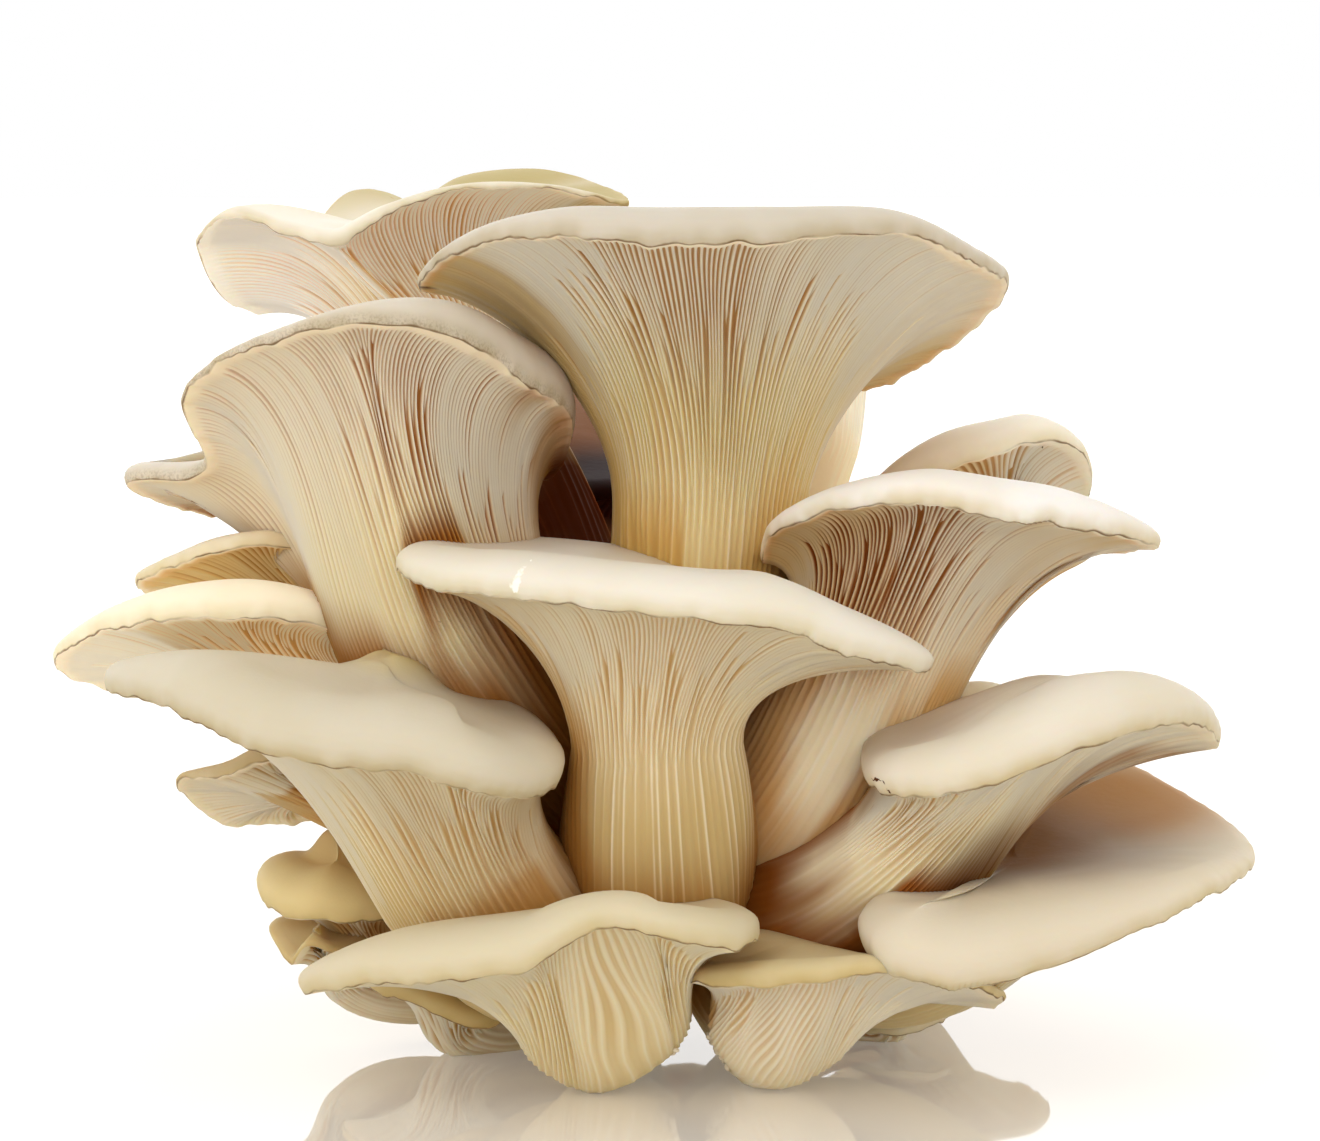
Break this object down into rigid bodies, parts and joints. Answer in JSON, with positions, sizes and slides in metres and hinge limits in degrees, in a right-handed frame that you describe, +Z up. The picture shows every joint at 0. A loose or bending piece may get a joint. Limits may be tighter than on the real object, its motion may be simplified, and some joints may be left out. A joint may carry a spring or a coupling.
{
  "type": "oyster mushroom cluster",
  "caption": "Cluster of oyster mushrooms: shell-shaped caps with rounded margins and running gills on bent stems that grow from one joined butt.",
  "frame": {"origin": "middle of the cluster's outline seen from above, on the surface that it stands on", "axes": "+Z up, +X to the right along the widest extent, -Y towards the fullest side, where the broad gills show"},
  "size_m": [0.167, 0.1406, 0.1219],
  "materials": {
    "flesh": "smooth, matt, slightly moist",
    "butt_flesh": "rough, matt"
  },
  "bodies": {
    "root": {"butt": "butt_flesh", "mushroom_front": "flesh", "mushroom_top": "flesh", "mushroom_left": "flesh", "mushroom_right_upper": "flesh", "mushroom_right_middle": "flesh", "mushroom_right_low": "flesh", "mushroom_bottom_left": "flesh", "mushroom_bottom_right": "flesh", "mushroom_left_low": "flesh", "mushroom_left_middle": "flesh", "mushroom_left_back": "flesh", "mushroom_left_small": "flesh", "mushroom_left_pale": "flesh", "mushroom_left_folded": "flesh", "mushroom_bottom_back": "flesh", "mushroom_top_back": "flesh", "mushroom_right_back": "flesh", "mushroom_back_top": "flesh", "mushroom_back_right": "flesh", "mushroom_tiny_right": "flesh", "mushroom_rear_left": "flesh", "mushroom_rear_middle": "flesh", "mushroom_rear_right": "flesh", "mushroom_rear_upper": "flesh", "mushroom_rear_side": "flesh", "mushroom_rear_low": "flesh"}
  },
  "joints": []
}
